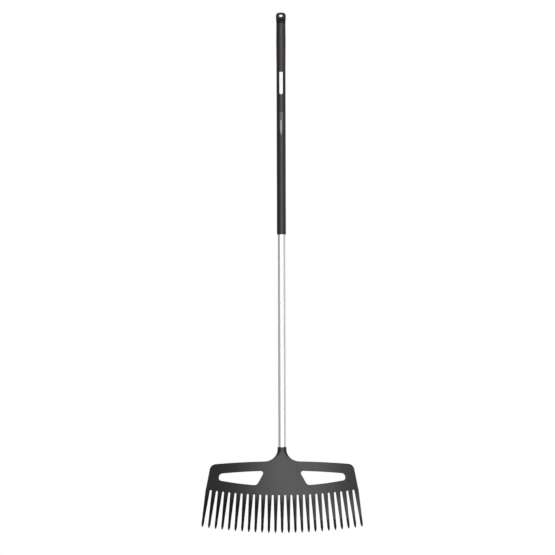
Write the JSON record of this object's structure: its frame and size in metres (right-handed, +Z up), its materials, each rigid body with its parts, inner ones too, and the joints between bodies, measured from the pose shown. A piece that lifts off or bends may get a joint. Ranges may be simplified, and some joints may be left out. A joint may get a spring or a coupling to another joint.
{
  "type": "leaf rake",
  "caption": "Long-handled leaf rake: a wide one-piece moulded plastic head with flexible tines and oblong windows, on a round aluminium tube with a plastic grip sleeve and hanging hole.",
  "frame": {"origin": "in the end cap's hanging hole, on the handle's axis, where the middle of a 5 mm nail lies when the rake hangs on it", "axes": "+Z up the handle towards the end cap, so the head is at -Z; +X along the head's width; +Y towards the head's ribbed back, with the smooth face and the sticker towards -Y"},
  "size_m": [0.5302, 0.1332, 1.7032],
  "materials": {
    "head_plastic": "satin black moulded polypropylene with a fine grain",
    "grip_plastic": "satin black sleeve with two faded printed marks",
    "cap_plastic": "matt black moulding",
    "accent_plastic": "dull orange-brown plastic",
    "aluminium": "drawn and lightly anodised, bright",
    "label_film": "blank white film sticker",
    "plug_plastic": "plain grey nylon, hidden inside the tube",
    "screw_steel": "zinc-plated pan head"
  },
  "bodies": {
    "root": {"rake_head": "head_plastic", "shaft_tube": "aluminium", "shaft_plug": "plug_plastic", "head_screw_upper": "screw_steel", "head_screw_lower": "screw_steel", "grip_sleeve": "grip_plastic", "care_label": "label_film", "end_cap": "cap_plastic", "hang_eyelet": "accent_plastic"}
  },
  "joints": []
}
